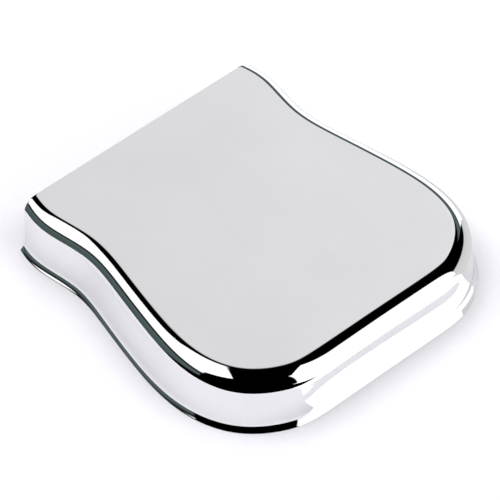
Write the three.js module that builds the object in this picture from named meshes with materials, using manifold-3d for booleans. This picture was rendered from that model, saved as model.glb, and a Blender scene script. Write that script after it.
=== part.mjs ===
// Bridge cover of an electric guitar. It is one chrome-plated steel pressing, open at the end that
// faces the pickup, with the string damper and the two grip felts that are stuck inside it.
// Millimetres, +Z up. The closed end faces -Y and the open end +Y. The origin lies under the middle
// of the cover, on the plane that its rim rests on.
import * as THREE from 'three';
import { mergeVertices } from 'three/addons/utils/BufferGeometryUtils.js';
import Module from 'manifold-3d';

const wasm = await Module();
wasm.setup();

// Driving dimensions
const coverLength = 99;    // closed end's lip to the open end's cut edge
const coverHeight = 17.25; // rim to flat top
const sheet = 1;           // thickness of the steel
const flareReach = 1.9;    // how far the flare stands out of the wall at the open end
const flareTaper = 0.3;    // how much less it stands out for each mm that the lip is wider there
const flareHeight = 3.6;   // height of the flare above the rim
const flarePower = 2;      // 1 is a straight flare, 2 is a parabola that starts gently

// Half outline of the flat top, from the middle of the closed end to the open end, as the control
// points of a uniform cubic B-spline. roll is the outside radius of the rolled edge there, and lip is
// how far the lip stands out of the flat top.
const halfOutline = [
  { x: 0, y: -42.2, roll: 5.1, lip: 7.2 },      // middle of the closed end, which is almost straight
  { x: 22.3, y: -42.5, roll: 5.2, lip: 7.1 },
  { x: 28.7, y: -41.7, roll: 5.3, lip: 7.5 },
  { x: 39.0, y: -35.1, roll: 5.4, lip: 7.7 },   // corner
  { x: 42.9, y: -22.9, roll: 5.2, lip: 7.7 },   // hip
  { x: 41.7, y: -8.8, roll: 5.0, lip: 7.8 },
  { x: 37.6, y: 11.1, roll: 4.8, lip: 7.6 },
  { x: 34.5, y: 26.3, roll: 4.7, lip: 7.3 },    // waist, which grips the bridge plate
  { x: 38.6, y: 41.6, roll: 4.5, lip: 7.1 },    // ear
  { x: 36.7, y: 49.5, roll: 4.3, lip: 6.3 },    // open end
];
const openLip = halfOutline.at(-1).lip;
const stepsPerSpan = 5;    // outline facets for each control point
const overrun = 6;         // how far the blank runs past the open end before it is trimmed

// String damper: a foam bar stuck under the roof, over the saddles
const damperSize = { x: 60, y: 14, z: 8 };
const damperCentreY = -18;
const adhesiveThickness = 0.5;
const adhesiveInset = 1.5; // the film stops this far inside the foam's edge

// Grip felts: strips on the inside of the two side walls, where the waist grips the bridge plate
const feltThickness = 1;
const feltHeight = 7;
const feltFromRim = 4.5;   // lower edge of the felt above the rim
const feltSpans = [6.1, 7.9]; // where each felt starts and ends, in spans of the outline
const feltSteps = 10;
const gap = 0.3;           // clearance to the curved wall, taken up by the felt's own glue

const roof = coverHeight - sheet;

const finish = {
  chrome: new THREE.MeshStandardMaterial({ color: '#dfe0e3', roughness: 0.04, metalness: 1 }),
  foam: new THREE.MeshStandardMaterial({ color: '#3a3b3d', roughness: 0.95, metalness: 0 }),
  adhesive: new THREE.MeshStandardMaterial({ color: '#cfc9b6', roughness: 0.5, metalness: 0 }),
  felt: new THREE.MeshStandardMaterial({ color: '#26272a', roughness: 1, metalness: 0 }),
};

// Value and slope of the half outline at u, counted in spans. The row before the first point mirrors
// the second one across the middle, and the row after the last one continues in a straight line.
function outlineAt(u) {
  const last = halfOutline.length - 1;
  const span = Math.min(Math.floor(u), last - 1);
  const t = u - span;
  const row = (k) => {
    if (k < 0) return { ...halfOutline[1], x: -halfOutline[1].x };
    if (k <= last) return halfOutline[k];
    const a = halfOutline[last];
    const b = halfOutline[last - 1];
    return Object.fromEntries(Object.keys(a).map((key) => [key, 2 * a[key] - b[key]]));
  };
  const weight = [(1 - t) ** 3, 3 * t ** 3 - 6 * t ** 2 + 4, -3 * t ** 3 + 3 * t ** 2 + 3 * t + 1, t ** 3];
  const slope = [-((1 - t) ** 2), 3 * t ** 2 - 4 * t, -3 * t ** 2 + 2 * t + 1, t ** 2];
  const blend = (key, w) => w.reduce((sum, v, i) => sum + v * row(span - 1 + i)[key], 0);
  const along = new THREE.Vector2(blend('x', slope), blend('y', slope)).normalize();
  return {
    point: new THREE.Vector2(blend('x', weight) / 6, blend('y', weight) / 6),
    outward: new THREE.Vector2(along.y, -along.x),
    roll: blend('roll', weight) / 6,
    lip: blend('lip', weight) / 6,
  };
}

// The whole outline, from the left side of the open end round the closed end to the right side
function wholeOutline() {
  const spans = halfOutline.length - 1;
  const right = [];
  for (let i = 0; i <= spans * stepsPerSpan; i += 1) right.push(outlineAt(i / stepsPerSpan));
  const left = right.slice(1).reverse().map(({ point, outward, roll, lip }) => ({
    point: new THREE.Vector2(-point.x, point.y),
    outward: new THREE.Vector2(-outward.x, outward.y),
    roll,
    lip,
  }));
  return [...left, ...right];
}

// Where the wall meets the flare, as distance out of the flat top
function wallFoot(lip) {
  return lip - flareReach + flareTaper * (lip - openLip);
}

// Wall section from the flat top to the rim, as distance outwards and height. With inset 0 it is the
// outside of the steel, and with inset equal to the sheet it is the inside.
function wallSection({ roll, lip }, inset, rollSteps, flareSteps) {
  const section = [];
  const radius = roll - inset;
  for (let i = 0; i <= rollSteps; i += 1) {
    const angle = (i / rollSteps) * Math.PI / 2;
    section.push({ out: radius * Math.sin(angle), z: coverHeight - roll + radius * Math.cos(angle) });
  }
  const foot = wallFoot(lip);
  for (let i = 0; i <= flareSteps; i += 1) {
    const t = i / flareSteps;
    const rise = (lip - foot) * flarePower * t ** (flarePower - 1);
    const tilt = Math.atan2(rise, flareHeight);
    section.push({
      out: foot + (lip - foot) * t ** flarePower - inset * Math.cos(tilt),
      z: flareHeight * (1 - t) - inset * Math.sin(tilt),
    });
  }
  return section;
}

// A closed mesh from a stack of closed loops with equally many points, listed from top to bottom
function stackedSolid(loops) {
  const count = loops[0].length;
  const position = loops.flat().flatMap((p) => [p.x, p.y, p.z]);
  const index = [];
  for (let j = 0; j + 1 < loops.length; j += 1) {
    for (let i = 0; i < count; i += 1) {
      const a = j * count + i;
      const b = j * count + ((i + 1) % count);
      index.push(a, a + count, b, b, a + count, b + count);
    }
  }
  const cap = (loop) => THREE.ShapeUtils.triangulateShape(loop.map((p) => new THREE.Vector2(p.x, p.y)), []);
  const base = (loops.length - 1) * count;
  for (const [a, b, c] of cap(loops[0])) index.push(a, b, c);
  for (const [a, b, c] of cap(loops.at(-1))) index.push(base + a, base + c, base + b);
  const geometry = new THREE.BufferGeometry();
  geometry.setAttribute('position', new THREE.Float32BufferAttribute(position, 3));
  geometry.setIndex(index);
  return geometry;
}

// Loops of one skin of the cover, run on past the open end so that the trim cuts it square
function skinLoops(inset, rollSteps, flareSteps, dropBelowRim) {
  const outline = wholeOutline();
  const sections = outline.map((o) => wallSection(o, inset, rollSteps, flareSteps));
  const loops = sections[0].map((_, j) => {
    const loop = outline.map(({ point, outward }, i) => {
      const { out, z } = sections[i][j];
      return new THREE.Vector3(point.x + outward.x * out, point.y + outward.y * out, z);
    });
    const ends = [loop.at(-1), loop[0]].map((p) => new THREE.Vector3(p.x, p.y + overrun, p.z));
    return [...loop, ...ends];
  });
  if (dropBelowRim > 0) {
    loops.push(loops.at(-1).map((p) => new THREE.Vector3(p.x, p.y, -dropBelowRim)));
  }
  return loops;
}

function toManifold(geometry) {
  const bare = geometry.clone();
  for (const name of Object.keys(bare.attributes)) {
    if (name !== 'position') bare.deleteAttribute(name);
  }
  const merged = mergeVertices(bare, 1e-4);
  return new wasm.Manifold(new wasm.Mesh({
    numProp: 3,
    vertProperties: Float32Array.from(merged.attributes.position.array),
    triVerts: Uint32Array.from(merged.index.array),
  }));
}

function fromManifold(solid) {
  const mesh = solid.getMesh();
  const geometry = new THREE.BufferGeometry();
  geometry.setAttribute('position', new THREE.BufferAttribute(mesh.vertProperties, 3));
  geometry.setIndex(new THREE.BufferAttribute(mesh.triVerts, 1));
  return geometry;
}

function namedMesh(name, geometry, material) {
  const mesh = new THREE.Mesh(geometry, material);
  mesh.name = name;
  return mesh;
}

// The pressing: the outer skin, trimmed square at the open end, less the hollow under the roof
function coverShell() {
  const outer = toManifold(stackedSolid(skinLoops(0, 5, 3, 0)));
  const hollow = toManifold(stackedSolid(skinLoops(sheet, 3, 2, 2)));
  const trim = new THREE.BoxGeometry(200, 40, 60).translate(0, coverLength / 2 + 20, 0);
  return namedMesh('cover_shell', fromManifold(outer.subtract(hollow).subtract(toManifold(trim))), finish.chrome);
}

function damperAdhesive() {
  const film = new THREE.BoxGeometry(
    damperSize.x - 2 * adhesiveInset,
    damperSize.y - 2 * adhesiveInset,
    adhesiveThickness,
  );
  const mesh = namedMesh('damper_adhesive', film, finish.adhesive);
  mesh.position.set(0, damperCentreY, roof - adhesiveThickness / 2);
  return mesh;
}

function damperPad() {
  const foam = new THREE.BoxGeometry(damperSize.x, damperSize.y, damperSize.z);
  const mesh = namedMesh('damper_pad', foam, finish.foam);
  mesh.position.set(0, damperCentreY, roof - adhesiveThickness - damperSize.z / 2);
  return mesh;
}

// A strip that follows the inside of the side wall round the waist
function gripFelt(name, side) {
  const run = [];
  for (let i = 0; i <= feltSteps; i += 1) {
    run.push(outlineAt(THREE.MathUtils.lerp(feltSpans[0], feltSpans[1], i / feltSteps)));
  }
  const offset = ({ point, outward, roll, lip }, depth, z) => {
    const lean = (coverHeight - roll - z) / (coverHeight - roll - flareHeight);
    const out = THREE.MathUtils.lerp(roll, wallFoot(lip), lean) - sheet - gap - depth;
    return new THREE.Vector3(side * (point.x + outward.x * out), point.y + outward.y * out, z);
  };
  const back = [...run].reverse();
  const loops = [feltFromRim + feltHeight, feltFromRim].map((z) => {
    const ring = [...run.map((o) => offset(o, 0, z)), ...back.map((o) => offset(o, feltThickness, z))];
    return side < 0 ? ring.reverse() : ring;
  });
  return namedMesh(name, stackedSolid(loops), finish.felt);
}

const cover = new THREE.Group();
cover.add(coverShell(), damperAdhesive(), damperPad(), gripFelt('left_grip_felt', -1), gripFelt('right_grip_felt', 1));

export default cover;
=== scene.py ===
# Chrome bridge cover of an electric guitar: the plated pressing, and the foam string damper, the
# adhesive film and the grip felts inside it. Metres in the frame's own axes, closed end towards -Y.
import math
import bmesh
import bpy
import numpy as np
from mathutils import Matrix, Vector


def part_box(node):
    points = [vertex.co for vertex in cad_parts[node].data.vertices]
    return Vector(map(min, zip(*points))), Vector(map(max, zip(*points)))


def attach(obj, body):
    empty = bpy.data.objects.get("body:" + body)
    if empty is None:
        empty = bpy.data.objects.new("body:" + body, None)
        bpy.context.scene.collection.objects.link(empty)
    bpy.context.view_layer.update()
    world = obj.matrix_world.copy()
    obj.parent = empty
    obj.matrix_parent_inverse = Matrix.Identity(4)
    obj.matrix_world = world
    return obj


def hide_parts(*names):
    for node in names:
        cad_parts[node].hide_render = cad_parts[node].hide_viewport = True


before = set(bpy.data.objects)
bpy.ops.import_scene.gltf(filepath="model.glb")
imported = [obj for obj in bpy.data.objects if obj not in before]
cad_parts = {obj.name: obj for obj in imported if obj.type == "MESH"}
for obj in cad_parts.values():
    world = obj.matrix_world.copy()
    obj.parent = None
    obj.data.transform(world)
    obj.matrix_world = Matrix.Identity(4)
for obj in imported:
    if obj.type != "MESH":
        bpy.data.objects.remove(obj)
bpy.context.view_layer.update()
mm = 0.001
print("frame loaded:", sorted(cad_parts))

camera = {
    "azimuth": -41.72,       # degrees, 0 looks along +Y
    "elevation": 46.42,      # degrees above the horizon
    "roll": -0.40,           # degrees, turns the picture
    "distance": 1.1623,      # metres from the point it looks at
    "across": 134.782,       # mm that the picture shows across at that point
    "aside": -2.925,         # mm the camera is moved along the picture's width
    "above": 5.518,          # mm the camera is moved along the picture's height
    "sensor": 36,            # mm
    "clip": (0.01, 20),      # metres, nearest and furthest that it sees
}


def viewAxes(azimuth, elevation):
    # back points from the object to the camera, right and up lie in the picture
    a = math.radians(azimuth)
    e = math.radians(elevation)
    back = Vector((math.sin(a) * math.cos(e), -math.cos(a) * math.cos(e), math.sin(e)))
    right = Vector((math.cos(a), math.sin(a), 0))
    return right, back.cross(right), back


def makeCamera(values):
    right, up, back = viewAxes(values["azimuth"], values["elevation"])
    data = bpy.data.cameras.new("camera")
    data.sensor_width = values["sensor"]
    data.lens = values["sensor"] * values["distance"] / (values["across"] * mm)
    data.clip_start, data.clip_end = values["clip"]
    cam = bpy.data.objects.new("camera", data)
    bpy.context.scene.collection.objects.link(cam)
    turn = Matrix.Rotation(math.radians(values["roll"]), 3, "Z")
    cam.matrix_world = (Matrix((right, up, back)).transposed() @ turn).to_4x4()
    cam.location = back * values["distance"] + (right * values["aside"] + up * values["above"]) * mm
    bpy.context.scene.camera = cam


makeCamera(camera)
print("camera made")


def linear(hexColour):
    # sRGB hex to the linear RGBA that shaders use
    parts = [int(hexColour[i:i + 2], 16) / 255 for i in (1, 3, 5)]
    return [c / 12.92 if c <= 0.04045 else ((c + 0.055) / 1.055) ** 2.4 for c in parts] + [1.0]


def addNode(tree, kind, settings=None, stops=None, output=0, **inputs):
    # Adds a node with its settings and links, and returns one output. An input is a value or another
    # node's output, named with _ for a space, or i0, i1 for its place. Stops are those of a ramp.
    node = tree.nodes.new(kind)
    for name, value in (settings or {}).items():
        setattr(node, name, value)
    if stops:
        elements = node.color_ramp.elements
        while len(elements) < len(stops):
            elements.new(0.5)
        for element, (position, colour) in zip(elements, stops):
            element.position = position
            element.color = linear(colour) if isinstance(colour, str) else [colour] * 3 + [1.0]
    for name, value in inputs.items():
        socket = node.inputs[int(name[1:]) if name[1:].isdigit() else name.replace("_", " ")]
        if isinstance(value, bpy.types.NodeSocket):
            tree.links.new(value, socket)
        else:
            socket.default_value = value
    return node.outputs[output] if node.outputs else None


def emptyTree(owner):
    owner.use_nodes = True
    owner.node_tree.nodes.clear()
    return owner.node_tree


def newMesh(name, vertices, faces, materials, slots=None, smooth=True):
    data = bpy.data.meshes.new(name)
    data.from_pydata(vertices.tolist(), [], faces)
    for material in materials:
        data.materials.append(material)
    if slots is not None:
        data.polygons.foreach_set("material_index", np.asarray(slots, dtype=np.int32))
    data.polygons.foreach_set("use_smooth", np.full(len(data.polygons), smooth))
    data.update()
    piece = bpy.data.objects.new(name, data)
    bpy.context.scene.collection.objects.link(piece)
    return piece


# The pressing's shape
shell = {
    "sheet": 1.0,            # mm of steel
    "rollEase": 0.5,         # mm that the roll starts inside the flat top, to ease into its bend
    "easeShare": 0.16,       # share of the roll over which its bend builds up at each end
    "flareReach": 1.9,       # mm the flare stands out of the wall at the open end
    "flareTaper": 0.3,       # mm it stands out less for each mm that the lip is wider
    "flareHeight": 3.0,      # mm above the rim where the wall starts to flare
    "flarePower": 2.0,       # 2 is a parabola that grows out of the wall without a kink
    "edge": 0.16,            # mm, radius of the polished cut edges
    "columnsPerSpan": 30,    # mesh columns for each control point of the outline
    "rollRows": 28,
    "wallRows": 9,
    "flareRows": 16,
    # half outline of the flat top, closed end to open end: x, y, radius of the roll, and how far the
    # lip stands out, mm
    "outline": [
        (0.0, -42.2, 5.1, 7.2),
        (22.3, -42.5, 5.2, 7.1),
        (28.7, -41.7, 5.3, 7.5),
        (39.0, -35.1, 5.4, 7.7),
        (42.9, -22.9, 5.2, 7.7),
        (41.7, -8.8, 5.0, 7.8),
        (37.6, 11.1, 4.8, 7.6),
        (34.5, 26.3, 4.7, 7.3),
        (38.6, 41.6, 4.5, 7.1),
        (36.7, 49.5, 4.3, 6.3),
    ],
}
rollSamples, wallSamples, flareSamples = 400, 160, 160  # points along the roll, wall and flare
outlineSamples = 1500                                   # points along the half outline
edgeTurns = np.radians([30, 60, 90])                    # steps of the turn round a cut edge
shellHigh = np.array(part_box("cover_shell")[1]) / mm
shellHeight = float(shellHigh[2])
openEndY = float(shellHigh[1])


def outlineAt(u):
    # Uniform cubic B-spline through the half outline's control points, mirrored before the first
    # and run on straight after the last. Gives points, outward normals, roll radii and lip widths.
    points = np.array(shell["outline"])
    before = points[1] * [-1, 1, 1, 1]
    after = 2 * points[-1] - points[-2]
    rows = np.vstack([before, points, after])
    span = np.minimum(u.astype(int), len(points) - 2)
    t = (u - span)[:, None]
    p0, p1, p2, p3 = (rows[span + k] for k in range(4))
    value = ((1 - t) ** 3 * p0 + (3 * t ** 3 - 6 * t ** 2 + 4) * p1
             + (-3 * t ** 3 + 3 * t ** 2 + 3 * t + 1) * p2 + t ** 3 * p3) / 6
    slope = (-(1 - t) ** 2 * p0 + (3 * t ** 2 - 4 * t) * p1
             + (-3 * t ** 2 + 2 * t + 1) * p2 + t ** 2 * p3) / 2
    length = np.hypot(slope[:, 0], slope[:, 1])
    normal = np.stack([slope[:, 1] / length, -slope[:, 0] / length], axis=1)
    return value[:, :2], normal, value[:, 2], value[:, 3]


def easedRoll():
    # Quarter turn whose curvature rises and falls smoothly: the bend is the running sum of a
    # flat-topped bell, and the path is the running sum of its direction. Scaled to reach 1 by 1.
    s = np.linspace(0, 1, rollSamples)
    ramped = np.clip(np.minimum(s, 1 - s) / shell["easeShare"], 0, 1)
    bell = ramped * ramped * (3 - 2 * ramped)
    bend = np.concatenate([[0], np.cumsum((bell[1:] + bell[:-1]) / 2)])
    bend *= math.pi / 2 / bend[-1]
    middle = (bend[1:] + bend[:-1]) / 2
    out = np.concatenate([[0], np.cumsum(np.cos(middle))])
    drop = np.concatenate([[0], np.cumsum(np.sin(middle))])
    return out / out[-1], drop / drop[-1]


def wallFoot(lip):
    # how far out the wall meets the flare
    return lip - shell["flareReach"] + shell["flareTaper"] * (lip - shell["outline"][-1][3])


def denseSection(roll, lip):
    # The outside of the wall for each place on the outline, from the flat top down to the rim: roll,
    # leaning wall and parabolic flare. Gives distance out, height, and the section's outward normal.
    roll, lip = roll[:, None], lip[:, None]
    reach = roll + shell["rollEase"]
    foot = wallFoot(lip)
    out, drop = easedRoll()
    down = np.arange(1, wallSamples + 1) / wallSamples
    flared = np.arange(1, flareSamples + 1) / flareSamples
    rollEnd = shellHeight - reach
    distance = np.hstack([out * reach - shell["rollEase"],
                          roll + (foot - roll) * down,
                          foot + (lip - foot) * flared ** shell["flarePower"]])
    height = np.hstack([shellHeight - drop * reach,
                        rollEnd + (shell["flareHeight"] - rollEnd) * down,
                        shell["flareHeight"] * (1 - flared) * np.ones_like(lip)])
    dOut = np.gradient(distance, axis=1)
    dZ = np.gradient(height, axis=1)
    size = np.hypot(dOut, dZ)
    return distance, height, -dZ / size, dOut / size


densePoint, denseNormal, denseRoll, denseLip = outlineAt(
    np.linspace(0, len(shell["outline"]) - 1, outlineSamples))
denseOut, denseZ, denseNormalOut, denseNormalZ = denseSection(denseRoll, denseLip)


def sectionRow(inset, share, floor):
    # One line round the cover, inset mm deep in the steel. share runs along the section from the
    # flat top to where it reaches the height floor. Gives distance out and height along the outline.
    out = denseOut - inset * denseNormalOut
    z = denseZ - inset * denseNormalZ
    rows = np.arange(len(z))
    below = (z <= floor).argmax(axis=1)  # first sample that is not above the floor
    above = below - 1
    end = above + (z[rows, above] - floor) / (z[rows, above] - z[rows, below])
    at = end * share
    low = np.minimum(at.astype(int), z.shape[1] - 2)
    f = at - low
    return (out[rows, low] * (1 - f) + out[rows, low + 1] * f,
            z[rows, low] * (1 - f) + z[rows, low + 1] * f)


def shellRows():
    # Rows of the closed section as (depth in the steel, share of the section, height it stops at):
    # outside from top to rim, rounded cut edge, rim, rounded edge, and inside back up to the roof.
    edge, sheet = shell["edge"], shell["sheet"]
    lastSample = rollSamples + wallSamples + flareSamples - 1
    rollShare = (rollSamples - 1) / lastSample
    wallShare = (rollSamples + wallSamples - 1) / lastSample
    shares = np.concatenate([
        np.linspace(0, rollShare, shell["rollRows"], endpoint=False),
        np.linspace(rollShare, wallShare, shell["wallRows"], endpoint=False),
        np.linspace(wallShare, 1, shell["flareRows"]),
    ])
    outside = [(0.0, s, edge) for s in shares]
    outerEdge = [(edge * (1 - math.cos(a)), 1.0, edge * (1 - math.sin(a))) for a in edgeTurns]
    innerEdge = [(sheet - inset, 1.0, floor) for inset, _, floor in reversed(outerEdge)]
    inside = [(sheet, s, edge) for s in shares[::-1]]
    return outside + outerEdge + innerEdge + inside


def shellLine(inset, share, floor, endY, shrink):
    # A row's points on the right half, and where along them it meets the plane y = endY. shrink
    # pulls the row towards the middle of the steel, and lifts its last millimetre off the rim, which
    # rounds the cut end.
    depth = inset + shrink * (1 - 2 * inset / shell["sheet"])
    out, z = sectionRow(depth, share, floor)
    z = z + shrink * np.clip(1 - z, 0, 1)
    x = densePoint[:, 0] + denseNormal[:, 0] * out
    y = densePoint[:, 1] + denseNormal[:, 1] * out
    half = len(y) // 2
    beyond = y[half:] >= endY
    k = half + (beyond.argmax() if beyond.any() else len(y) - half - 1)
    t = (endY - y[k - 1]) / (y[k] - y[k - 1])
    return x, y, z, k - 1 + t


def sampleLine(line, places):
    # points at those shares of a line from shellLine
    x, y, z, end = line
    at = places * end
    low = np.minimum(at.astype(int), len(x) - 2)
    f = at - low
    return np.stack([v[low] * (1 - f) + v[low + 1] * f for v in (x, y, z)], axis=1)


def makeShell(materials):
    spans = len(shell["outline"]) - 1
    places = np.linspace(0, 1, spans * shell["columnsPerSpan"] + 1)
    edge = shell["edge"]
    rows = shellRows()
    grid = []
    for inset, share, floor in rows:
        right = [sampleLine(shellLine(inset, share, floor, openEndY - edge, 0.0), places)]
        for a in edgeTurns:
            tip = shellLine(inset, share, floor, openEndY - edge * (1 - math.sin(a)),
                            edge * (1 - math.cos(a)))
            right.append(sampleLine(tip, np.array([1.0])))
        right = np.vstack(right)
        grid.append(np.vstack([right[:0:-1] * [-1, 1, 1], right]))
    grid = np.array(grid)
    rowCount, columns = grid.shape[:2]
    vertices = grid.reshape(-1, 3)
    index = np.arange(rowCount * columns).reshape(rowCount, columns)
    a, b = index[:-1, :-1], index[:-1, 1:]
    c, d = index[1:, 1:], index[1:, :-1]
    faces = np.stack([a, d, c, b], axis=-1).reshape(-1, 4).tolist()
    insideStart = rowCount - sum(inset == shell["sheet"] for inset, _, _ in rows)
    slots = np.repeat((np.arange(rowCount - 1) >= insideStart).astype(int), columns - 1).tolist()
    # the cut face of the open end, on both sides: each outer row is joined to its inner partner
    for end in (0, columns - 1):
        for j in range(rowCount // 2 - 1):
            inner = rowCount - 1 - j
            quad = [index[j, end], index[j + 1, end], index[inner - 1, end], index[inner, end]]
            faces.append([int(v) for v in (quad if end else quad[::-1])])
            slots.append(0)
    # the flat roof, outside and inside: one big face, and narrow ones along the rounded cut end
    tips = len(edgeTurns)
    for side, ring in enumerate((index[0], index[-1])):
        face = [int(v) for v in ring[tips:columns - tips]]
        faces.append(face if side == 0 else face[::-1])
        slots.append(side)
        for k in range(tips):
            quad = [int(v) for v in (ring[tips - k], ring[tips - k - 1],
                                     ring[columns - tips + k], ring[columns - tips + k - 1])]
            faces.append(quad[::-1] if side == 0 else quad)
            slots.append(side)
    # the straight part of the cut face, between the two sides
    faces.append([int(v) for v in (index[0, 0], index[0, -1], index[-1, -1], index[-1, 0])])
    slots.append(0)
    piece = newMesh("cover_pressing", vertices * mm, faces, materials, slots)
    for face in piece.data.polygons:
        face.use_smooth = face.loop_total == 4  # the big roof faces keep one true direction
    return piece


def brightChrome():
    # Bright decorative chrome plate on buffed nickel: a near-neutral mirror. Buffing leaves it very
    # slightly uneven, so highlights bend a little, and handling leaves hazy patches and wipe marks.
    material = bpy.data.materials.new("brightChromePlate")
    tree = emptyTree(material)
    point = addNode(tree, "ShaderNodeTexCoord", output="Object")
    haze = addNode(tree, "ShaderNodeTexNoise", Vector=point, Scale=1 / (22 * mm),
                   Detail=4, Roughness=0.55)
    wipe = addNode(tree, "ShaderNodeMapping", Vector=point, Rotation=(0, 0, math.radians(35)),
                   Scale=(1, 9, 1))
    streak = addNode(tree, "ShaderNodeTexNoise", Vector=wipe,
                     Scale=1 / (9 * mm), Detail=5, Roughness=0.6)
    mixed = addNode(tree, "ShaderNodeMath", {"operation": "MULTIPLY"}, i0=haze, i1=streak)
    rough = addNode(tree, "ShaderNodeMapRange", Value=mixed, From_Min=0.12, From_Max=0.45,
                    To_Min=0.012, To_Max=0.045)
    tint = addNode(tree, "ShaderNodeValToRGB", stops=[(0.3, "#eaeaeb"), (0.7, "#e6e6e8")], Fac=haze)
    # gentle unevenness of the buffed steel
    orangePeel = addNode(tree, "ShaderNodeTexNoise", Vector=point, Scale=1 / (7 * mm),
                         Detail=2, Roughness=0.4)
    bump = addNode(tree, "ShaderNodeBump", Height=orangePeel, Strength=0.10, Distance=0.04 * mm)
    shader = addNode(tree, "ShaderNodeBsdfPrincipled", Base_Color=tint, Roughness=rough, Normal=bump,
                     Metallic=1.0)
    addNode(tree, "ShaderNodeOutputMaterial", Surface=shader)
    return material


def satinInside():
    # The hollow side sees less buffing and a thinner plate: greyer, satin, with drawing marks that
    # run down the wall and a slight yellow of bare nickel.
    material = bpy.data.materials.new("satinNickelInside")
    tree = emptyTree(material)
    point = addNode(tree, "ShaderNodeTexCoord", output="Object")
    drawn = addNode(tree, "ShaderNodeMapping", Vector=point, Scale=(1, 1, 0.08))
    marks = addNode(tree, "ShaderNodeTexNoise", Vector=drawn, Scale=1 / (0.9 * mm),
                    Detail=6, Roughness=0.65)
    cloud = addNode(tree, "ShaderNodeTexNoise", Vector=point, Scale=1 / (14 * mm),
                    Detail=4, Roughness=0.6)
    tint = addNode(tree, "ShaderNodeValToRGB", stops=[(0.35, "#b9b6ae"), (0.65, "#c9c8c4")], Fac=cloud)
    rough = addNode(tree, "ShaderNodeMapRange", Value=marks, From_Min=0.3, From_Max=0.7,
                    To_Min=0.24, To_Max=0.40)
    bump = addNode(tree, "ShaderNodeBump", Height=marks, Strength=0.35, Distance=0.06 * mm)
    shader = addNode(tree, "ShaderNodeBsdfPrincipled", Base_Color=tint, Roughness=rough, Normal=bump,
                     Metallic=1.0)
    addNode(tree, "ShaderNodeOutputMaterial", Surface=shader)
    return material


pressing = makeShell([brightChrome(), satinInside()])
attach(pressing, "root")
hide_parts("cover_shell")
print("pressing made:", len(pressing.data.vertices), "vertices")


# Foam damper
damper = {
    "edge": 1.3,         # mm, radius of the cut foam's edges
    "inset": 0.15,       # mm the bar is drawn in, which leaves room for its lumps
    "crown": 0.5,        # mm that the free faces bulge less at the ends
    "lump": 0.22,        # mm of unevenness
    "lumpLimit": 0.12,   # mm that a lump stands out at most
    "lumpWave": 5.0,     # mm from one lump to the next
    "glued": 0.4,        # mm under the roof where the foam stays flat
    "fade": 2.0,         # mm below that over which the unevenness sets in
    "grooves": 6,        # dents that the strings have pressed in
    "groovePitch": 9.3,  # mm between strings
    "grooveDepth": 0.55,
    "grooveWidth": 1.5,
    "step": 0.55,        # mm between mesh points
}


def charcoalFoam():
    # Open-cell polyether foam, charcoal, cut with a knife: matt, full of pits about three quarters of
    # a millimetre across. Its colour follows the pits' depth: painted shade in the pits, painted
    # highlight on the cell rims.
    material = bpy.data.materials.new("charcoalFoam")
    tree = emptyTree(material)
    point = addNode(tree, "ShaderNodeTexCoord", output="Object")
    cells = addNode(tree, "ShaderNodeTexVoronoi", output="Distance", Vector=point, Scale=1 / (0.75 * mm))
    small = addNode(tree, "ShaderNodeTexNoise", Vector=point, Scale=1 / (0.35 * mm),
                    Detail=3, Roughness=0.7)
    pits = addNode(tree, "ShaderNodeMath", {"operation": "MULTIPLY_ADD"}, i0=small, i1=0.35, i2=cells)
    # painted shade in the pits and painted highlight on the rims, keyed to the same depth as the bump
    tint = addNode(tree, "ShaderNodeValToRGB", Fac=pits,
                   stops=[(0.15, "#2a2b2d"), (0.55, "#414245"), (0.95, "#5d5e60")])
    bump = addNode(tree, "ShaderNodeBump", Height=pits, Strength=0.9, Distance=0.4 * mm)
    shader = addNode(tree, "ShaderNodeBsdfPrincipled", Base_Color=tint, Normal=bump, Roughness=0.95,
                     Specular_IOR_Level=0.25)
    addNode(tree, "ShaderNodeOutputMaterial", Surface=shader)
    return material


def softNoise(points, wave, seed):
    # sum of a few fixed sine waves in different directions, mostly within -1 to 1
    waves = 7
    rng = np.random.default_rng(seed)
    total = np.zeros(len(points))
    for _ in range(waves):
        direction = rng.normal(size=3)
        direction /= np.linalg.norm(direction)
        turns = points @ direction / (wave * rng.uniform(0.7, 1.5))
        total += np.sin(turns * 2 * math.pi + rng.uniform(0, 2 * math.pi))
    return total / (waves / 2)


def roundedBar(low, high, radius, step):
    # A box with rounded edges: a fine grid on each face of a cube, where every point is pulled to
    # within the radius of the inner box. Returns the points, the outward directions and the faces.
    fewestCells = 6
    counts = [max(fewestCells, int(round(s / step))) for s in high - low]
    vertices, faces, start = [], [], 0
    for axis in range(3):
        for sign in (-1, 1):
            i, j = (axis + 1) % 3, (axis + 2) % 3
            a = np.linspace(low[i], high[i], counts[i] + 1)
            b = np.linspace(low[j], high[j], counts[j] + 1)
            grid = np.zeros((len(a), len(b), 3))
            grid[..., i] = a[:, None]
            grid[..., j] = b[None, :]
            grid[..., axis] = high[axis] if sign > 0 else low[axis]
            index = start + np.arange(grid.shape[0] * grid.shape[1]).reshape(grid.shape[:2])
            quads = np.stack([index[:-1, :-1], index[1:, :-1], index[1:, 1:], index[:-1, 1:]], axis=-1)
            quads = quads.reshape(-1, 4)
            faces.append(quads if sign > 0 else quads[:, ::-1])
            vertices.append(grid.reshape(-1, 3))
            start += grid.shape[0] * grid.shape[1]
    points = np.vstack(vertices)
    core = np.clip(points, low + radius, high - radius)
    away = points - core
    length = np.linalg.norm(away, axis=1, keepdims=True)
    return core + away / length * radius, away / length, np.vstack(faces)


def weld(piece):
    # joins the points that neighbouring faces of a bar share, all within a micrometre
    work = bmesh.new()
    work.from_mesh(piece.data)
    bmesh.ops.remove_doubles(work, verts=work.verts, dist=0.001 * mm)
    bmesh.ops.recalc_face_normals(work, faces=work.faces)
    work.to_mesh(piece.data)
    work.free()
    piece.data.update()


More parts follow.
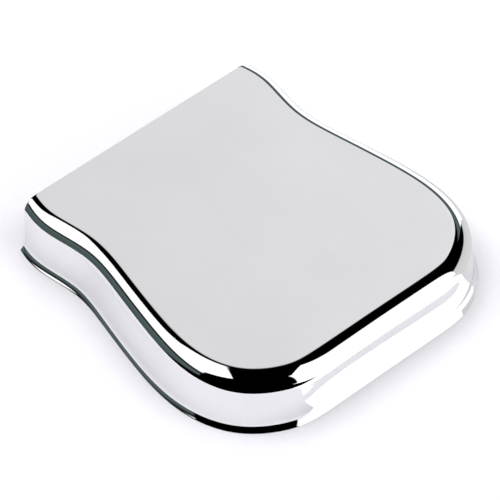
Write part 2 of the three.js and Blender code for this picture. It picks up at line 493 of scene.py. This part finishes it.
def makeDamper(material):
    low, high = (np.array(corner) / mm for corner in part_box("damper_pad"))
    inset = damper["inset"]
    points, away, faces = roundedBar(low + inset, high - [inset, inset, 0],
                                     damper["edge"], damper["step"])
    free = np.clip((high[2] - damper["glued"] - points[:, 2]) / damper["fade"], 0, 1)
    lump = softNoise(points, damper["lumpWave"], seed=3) * damper["lump"] * free
    middle = (low + high) / 2
    along = (points[:, 0] - middle[0]) / (high[0] - middle[0])
    sag = -damper["crown"] * along ** 4 * free
    below = np.clip((middle[2] - points[:, 2]) / (middle[2] - low[2]), 0, 1) ** 2
    dent = np.zeros(len(points))
    for k in range(damper["grooves"]):
        x = (k - (damper["grooves"] - 1) / 2) * damper["groovePitch"]
        dent += np.exp(-((points[:, 0] - x) / damper["grooveWidth"]) ** 2)
    points = points + away * (np.minimum(lump, damper["lumpLimit"]) + sag)[:, None]
    points[:, 2] += damper["grooveDepth"] * dent * below
    points = np.clip(points, low, high)
    piece = newMesh("foam_damper", points * mm, faces.tolist(), [material])
    weld(piece)
    return piece


foam = makeDamper(charcoalFoam())
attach(foam, "root")
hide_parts("damper_pad")
print("damper made")


# Adhesive film
film = {
    "edge": 0.2,        # mm, softness of the film's edges
    "wander": 0.18,     # mm that its outline wanders
    "wave": 4.0,        # mm from one bend of it to the next
    "inset": 0.006,     # share by which it is drawn in, so that the wander stays inside
    "step": 0.6,        # mm between mesh points
}


def tapeFilm():
    # Acrylic transfer tape, straw coloured and slightly cloudy, with small trapped bubbles
    material = bpy.data.materials.new("acrylicTapeFilm")
    tree = emptyTree(material)
    point = addNode(tree, "ShaderNodeTexCoord", output="Object")
    cloud = addNode(tree, "ShaderNodeTexNoise", Vector=point, Scale=1 / (3 * mm),
                    Detail=4, Roughness=0.6)
    bubbles = addNode(tree, "ShaderNodeTexVoronoi", output="Distance", Vector=point,
                      Scale=1 / (1.8 * mm))
    tint = addNode(tree, "ShaderNodeValToRGB", stops=[(0.35, "#c9bd95"), (0.65, "#ddd3b2")], Fac=cloud)
    bump = addNode(tree, "ShaderNodeBump", Height=bubbles, Strength=0.3, Distance=0.08 * mm)
    shader = addNode(tree, "ShaderNodeBsdfPrincipled", Base_Color=tint, Normal=bump, Roughness=0.42)
    addNode(tree, "ShaderNodeOutputMaterial", Surface=shader)
    return material


def makeFilm(material):
    low, high = (np.array(corner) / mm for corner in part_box("damper_adhesive"))
    points, away, faces = roundedBar(low, high, film["edge"], film["step"])
    middle = (low + high) / 2
    side = 1 - np.abs(away[:, 2])
    wander = softNoise(points, film["wave"], seed=8) * film["wander"] * side
    points[:, :2] += wander[:, None] * away[:, :2]
    points[:, :2] -= (points[:, :2] - middle[:2]) * film["inset"]
    piece = newMesh("damper_tape", points * mm, faces.tolist(), [material])
    weld(piece)
    return piece


tape = makeFilm(tapeFilm())
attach(tape, "root")
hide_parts("damper_adhesive")
print("adhesive made")


# Grip felts
felt = {
    "thickness": 1.0,     # mm
    "glue": 0.3,          # mm from the steel to the back of the felt
    "spans": (6.1, 7.9),  # where the strip starts and ends along the outline
    "edge": 0.4,          # mm, softness of the cut edges
    "fuzz": 0.06,         # mm of surface unevenness
    "wave": 1.6,          # mm from one tuft to the next
    "step": 0.4,          # mm between mesh points
    "bendSamples": 200,   # points of the outline that the strip is bent along
}


def woolFelt():
    # Pressed black wool felt, 1 mm: matted fibres in every direction, soft sheen, random broad nap;
    # painted highlight on the raised fibre tips and painted shade between them
    material = bpy.data.materials.new("pressedWoolFelt")
    tree = emptyTree(material)
    point = addNode(tree, "ShaderNodeTexCoord", output="Object")
    fibres = addNode(tree, "ShaderNodeTexNoise", Vector=point, Scale=1 / (0.5 * mm),
                     Detail=8, Roughness=0.75)
    nap = addNode(tree, "ShaderNodeTexNoise", Vector=point, Scale=1 / (3.5 * mm),
                  Detail=3, Roughness=0.5)
    mixed = addNode(tree, "ShaderNodeMath", {"operation": "MULTIPLY_ADD"}, i0=nap, i1=0.4, i2=fibres)
    # lighter on raised fibre tips and darker between them: painted highlight and painted shade, over a
    # random nap
    tint = addNode(tree, "ShaderNodeValToRGB", Fac=mixed,
                   stops=[(0.45, "#161719"), (0.75, "#2b2c30"), (0.95, "#47484c")])
    bump = addNode(tree, "ShaderNodeBump", Height=fibres, Strength=0.8, Distance=0.2 * mm)
    shader = addNode(tree, "ShaderNodeBsdfPrincipled", Base_Color=tint, Normal=bump, Roughness=1.0,
                     Sheen_Weight=0.35, Sheen_Roughness=0.5)
    addNode(tree, "ShaderNodeOutputMaterial", Surface=shader)
    return material


def makeFelt(name, node, side, material):
    # A straight soft-edged strip, bent so that its length follows the outline round the waist, and
    # leant so that its back follows the wall.
    low, high = (np.array(corner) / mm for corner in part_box(node))
    point, normal, roll, lip = outlineAt(np.linspace(*felt["spans"], felt["bendSamples"]))
    run = np.concatenate([[0], np.cumsum(np.hypot(*np.diff(point, axis=0).T))])
    flatLow = np.array([0, -felt["thickness"], low[2]])
    flatHigh = np.array([run[-1], 0, high[2]])
    points, away, faces = roundedBar(flatLow, flatHigh, felt["edge"], felt["step"])
    fuzz = softNoise(points, felt["wave"], seed=11) * felt["fuzz"] - felt["fuzz"]
    points += away * fuzz[:, None]
    at = np.clip(points[:, 0], 0, run[-1])
    base, facing = ([np.interp(at, run, v[:, k]) for k in (0, 1)] for v in (point, normal))
    rollHere = np.interp(at, run, roll)
    footHere = np.interp(at, run, wallFoot(lip))
    rollEnd = shellHeight - rollHere
    lean = (rollEnd - points[:, 2]) / (rollEnd - shell["flareHeight"])
    out = rollHere + (footHere - rollHere) * lean - shell["sheet"] - felt["glue"] + points[:, 1]
    x, y = (b + f * out for b, f in zip(base, facing))
    vertices = np.column_stack([side * x, y, points[:, 2]])
    piece = newMesh(name, vertices * mm, faces.tolist(), [material])
    weld(piece)
    return piece


blackFelt = woolFelt()
felts = (("felt_left", "left_grip_felt", -1), ("felt_right", "right_grip_felt", 1))
for feltName, feltNode, feltSide in felts:
    strip = makeFelt(feltName, feltNode, feltSide, blackFelt)
    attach(strip, "root")
    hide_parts(feltNode)
print("felts made")


# Studio
studio = {
    "floorHalf": 3.0,        # metres
    "floorDrop": 0.00005,    # metres the paper lies under the rim
    "cardLift": 0.0002,      # metres the cards lie above the rim's level
    "cardSteps": 160,        # mesh points along a card's edge
    "lampHeight": 1.6,       # metres
    "lampSize": 2.4,         # metres
    "lampPower": 31,         # watts
    "sectorEdge": 1.2,       # degrees, softness of the sectors' sides
    "boxEdge": 0.02,         # softness of the ceiling boxes' sides
    "aheadSlope": 0.010,     # how much brighter the backdrop grows for each degree to the right
}

# What the plating mirrors low down, as azimuth from and to, and the brightness at each elevation, in
# degrees. Azimuth 0 is straight ahead of the camera, behind the object, and grows to the right. What
# is left out is black, as behind the camera.
sectors = [
    (-120, -75, [(-90, 1.0), (-4, 0.12), (8, 0.17), (17, 0.03), (22, 0.0), (24, 1.4), (54, 1.4),
                 (57, 0.0)]),
    (-75, -50, [(-90, 1.0), (-25, 0.11), (21, 0.16), (23, 1.4), (57, 1.4), (60, 0.0)]),
    (-50, -18, [(-90, 1.0), (-2, 0.15), (12, 0.16), (22, 0.02), (30, 0.0)]),
    (-18, 36, [(-90, 1.2), (26, 1.2), (28, 0.11), (40, 0.13), (42, 0.0)]),
    (-9, 13, [(26, 0.0), (28, 0.11), (40, 0.13), (42, 0.93), (44, 0.90), (49, 0.87), (51, 0.0)]),
    (36, 87, [(-90, 0.85), (17, 0.75), (20, 0.0)]),
    (87, 138, [(-90, 1.4), (51, 1.4), (54, 0.0)]),
]

# White boxes on the ceiling: brightness, and the corners ahead of and beside the object, in units of
# the ceiling's height above it
ceilingBoxes = [
    (1.4, [(0.68, -0.05), (-0.58, -0.37), (-0.60, -0.60), (0.45, -0.47)]),
    (1.4, [(0.48, -0.40), (-0.60, -0.45), (-0.76, -1.30), (-0.93, -2.25), (0.50, -2.40)]),
    (1.4, [(0.20, 0.34), (0.036, 0.73), (-0.33, 1.50), (-1.20, 1.08), (-0.47, 0.53)]),
]

# Sheets that lie on the floor round the object and show only in the plating, where they paint its
# reflections; all but the black one glow
# though they are no lamps. Columns: name, azimuth from and to, how far beyond the lip they start and end
# in mm, and their colour and brightness
reflectionOnlySheets = [
    ("tealReflectionGlow", -120, -16, 27, 4300, "#586a69", 0.75),
    ("blackReflectionSheet", 145, 240, 27, 4300, "#000000", 0.0),
    ("whiteReflectionGlow", 96, 145, 7.8, 4300, "#ffffff", 1.45),
    ("middleWhiteReflectionGlow", 145, 162, 7.8, 26, "#ffffff", 1.45),
    # this near white glow paints over the floor's shade round the object where the plating mirrors it
    ("nearWhiteReflectionGlow", 96, 163, 0.5, 5.4, "#ffffff", 1.35),
    ("greyReflectionGlow", 30, 96, 3, 4300, "#ffffff", 0.80),
]


def makeFloor():
    # A big plain sheet of pale paper, with the faint cloudiness of its pulp
    material = bpy.data.materials.new("paleBackdropPaper")
    tree = emptyTree(material)
    point = addNode(tree, "ShaderNodeTexCoord", output="Object")
    grain = addNode(tree, "ShaderNodeTexNoise", Vector=point, Scale=1 / (2 * mm),
                    Detail=3, Roughness=0.6)
    tint = addNode(tree, "ShaderNodeValToRGB", stops=[(0.3, "#f2f1f6"), (0.7, "#f0eff4")], Fac=grain)
    shader = addNode(tree, "ShaderNodeBsdfPrincipled", Base_Color=tint, Roughness=0.9,
                     Specular_IOR_Level=0.1)
    addNode(tree, "ShaderNodeOutputMaterial", Surface=shader)
    half = studio["floorHalf"]
    level = -studio["floorDrop"]
    corners = np.array([(x * half, y * half, level) for x, y in ((-1, -1), (1, -1), (1, 1), (-1, 1))])
    newMesh("floor", corners, [[0, 1, 2, 3]], [material], smooth=False)


def lipDistance(angles):
    # distance from the origin to the lip's outline in each direction, 0 towards the closed end
    half = densePoint + denseNormal * denseLip[:, None]
    half = np.vstack([half, [0.0, openEndY]])
    path = np.vstack([half[::-1] * [-1, 1], half])
    at = np.arctan2(path[:, 0], -path[:, 1])
    order = np.argsort(at)
    return np.interp(angles, at[order], np.hypot(*path.T)[order], period=2 * math.pi)


def makeReflectionSheet(name, start, end, nearest, furthest, colour, strength):
    # A ring sector that keeps its distance to the lip, seen only in the plating: a glowing sheet that
    # paints a reflection there, or a dark one where it is black
    material = bpy.data.materials.new(name)
    tree = emptyTree(material)
    # the sheet's glow is painted reflection light; it is no lamp
    glow = addNode(tree, "ShaderNodeEmission", Color=linear(colour), Strength=strength)
    addNode(tree, "ShaderNodeOutputMaterial", Surface=glow)
    right, _, back = viewAxes(camera["azimuth"], 0)
    azimuth = np.radians(np.linspace(start, end, studio["cardSteps"]))
    direction = (np.outer(np.cos(azimuth), -back) + np.outer(np.sin(azimuth), right))[:, :2]
    around = np.arctan2(direction[:, 0], -direction[:, 1])
    inner = direction * ((lipDistance(around) + nearest) * mm)[:, None]
    outer = direction * ((lipDistance(around) + furthest) * mm)[:, None]
    n = len(azimuth)
    vertices = np.column_stack([np.vstack([inner, outer]), np.full(2 * n, studio["cardLift"])])
    i = np.arange(n - 1)
    faces = np.stack([i, i + n, i + n + 1, i + 1], axis=1).tolist()
    card = newMesh(name, vertices, faces, [material], smooth=False)
    for ray in ("camera", "diffuse", "shadow", "transmission", "volume_scatter"):
        setattr(card, "visible_" + ray, False)


def sectorGlow(tree, azimuth, height, start, end, levels):
    # The brightness of one sector. height is the elevation as 0 to 1, straight down to straight up.
    # A ramp holds 0 to 1, so it carries half the brightness.
    soft = studio["sectorEdge"]
    stops = [((degrees + 90) / 180, level / 2) for degrees, level in levels]
    half = addNode(tree, "ShaderNodeValToRGB", stops=stops, Fac=height)
    rise = addNode(tree, "ShaderNodeMapRange", {"interpolation_type": "SMOOTHSTEP"}, Value=azimuth,
                   From_Min=start - soft, From_Max=start + soft, To_Min=0.0, To_Max=2.0)
    fall = addNode(tree, "ShaderNodeMapRange", {"interpolation_type": "SMOOTHSTEP"}, Value=azimuth,
                   From_Min=end - soft, From_Max=end + soft, To_Min=1.0, To_Max=0.0)
    inside = addNode(tree, "ShaderNodeMath", {"operation": "MULTIPLY"}, i0=rise, i1=fall)
    if start < 0 < end:  # the backdrop straight ahead
        slope = addNode(tree, "ShaderNodeMath", {"operation": "MULTIPLY_ADD"}, i0=azimuth,
                        i1=studio["aheadSlope"], i2=1.0)
        inside = addNode(tree, "ShaderNodeMath", {"operation": "MULTIPLY"}, i0=inside, i1=slope)
    return addNode(tree, "ShaderNodeMath", {"operation": "MULTIPLY"}, i0=half, i1=inside)


def boxGlow(tree, direction, strength, corners):
    # The brightness of one ceiling box. inside is the smallest distance to the planes that run
    # through the object and each side of the box.
    right, _, back = viewAxes(camera["azimuth"], 0)
    points = np.column_stack([corners, np.ones(len(corners))])
    planes = np.cross(points, np.roll(points, -1, axis=0))
    planes *= np.sign(planes @ points.mean(axis=0))[:, None]
    planes /= np.linalg.norm(planes, axis=1, keepdims=True)
    inside = 1.0
    for plane in planes:
        facing = -back * plane[0] + right * plane[1] + Vector((0, 0, plane[2]))
        depth = addNode(tree, "ShaderNodeVectorMath", {"operation": "DOT_PRODUCT"}, output="Value",
                        i0=direction, i1=tuple(facing))
        inside = addNode(tree, "ShaderNodeMath", {"operation": "MINIMUM"}, i0=inside, i1=depth)
    return addNode(tree, "ShaderNodeMapRange", {"interpolation_type": "SMOOTHSTEP"}, Value=inside,
                   From_Min=0.0, From_Max=studio["boxEdge"], To_Min=0.0, To_Max=strength)


def makeSurroundings():
    world = bpy.data.worlds.new("studio")
    bpy.context.scene.world = world
    tree = emptyTree(world)
    right, _, back = viewAxes(camera["azimuth"], 0)
    direction = addNode(tree, "ShaderNodeTexCoord", output="Generated")
    ahead, sideways, upward = (
        addNode(tree, "ShaderNodeVectorMath", {"operation": "DOT_PRODUCT"}, output="Value",
                i0=direction, i1=tuple(axis)) for axis in (-back, right, (0, 0, 1)))
    turn = addNode(tree, "ShaderNodeMath", {"operation": "ARCTAN2"}, i0=sideways, i1=ahead)
    azimuth = addNode(tree, "ShaderNodeMath", {"operation": "MULTIPLY"}, i0=turn, i1=180 / math.pi)
    elevation = addNode(tree, "ShaderNodeMath", {"operation": "ARCSINE"}, i0=upward)
    height = addNode(tree, "ShaderNodeMath", {"operation": "MULTIPLY_ADD"}, i0=elevation,
                     i1=1 / math.pi, i2=0.5)
    parts = [sectorGlow(tree, azimuth, height, *sector) for sector in sectors]
    parts += [boxGlow(tree, direction, *box) for box in ceilingBoxes]
    total = 0.0
    for part in parts:
        total = addNode(tree, "ShaderNodeMath", {"operation": "MAXIMUM"}, i0=total, i1=part)
    # the dim walls of the room are teal, and the boxes and the backdrop are white
    wall = addNode(tree, "ShaderNodeValToRGB", stops=[(0.20, "#d2f0ee"), (0.35, "#fefeff")], Fac=total)
    glow = addNode(tree, "ShaderNodeBackground", Color=wall, Strength=total)
    addNode(tree, "ShaderNodeOutputWorld", Surface=glow)


def makeLamp():
    # A large soft box overhead that lights the floor and the felt and doesn't show in the plating
    data = bpy.data.lights.new("softBox", "AREA")
    data.shape = "SQUARE"
    data.size = studio["lampSize"]
    data.energy = studio["lampPower"]
    lamp = bpy.data.objects.new("softBox", data)
    lamp.location = (0, 0, studio["lampHeight"])
    lamp.visible_glossy = False
    bpy.context.scene.collection.objects.link(lamp)


makeFloor()
for card in reflectionOnlySheets:
    makeReflectionSheet(*card)
makeSurroundings()
makeLamp()
bpy.context.scene.view_settings.view_transform = "Standard"
print("studio made")
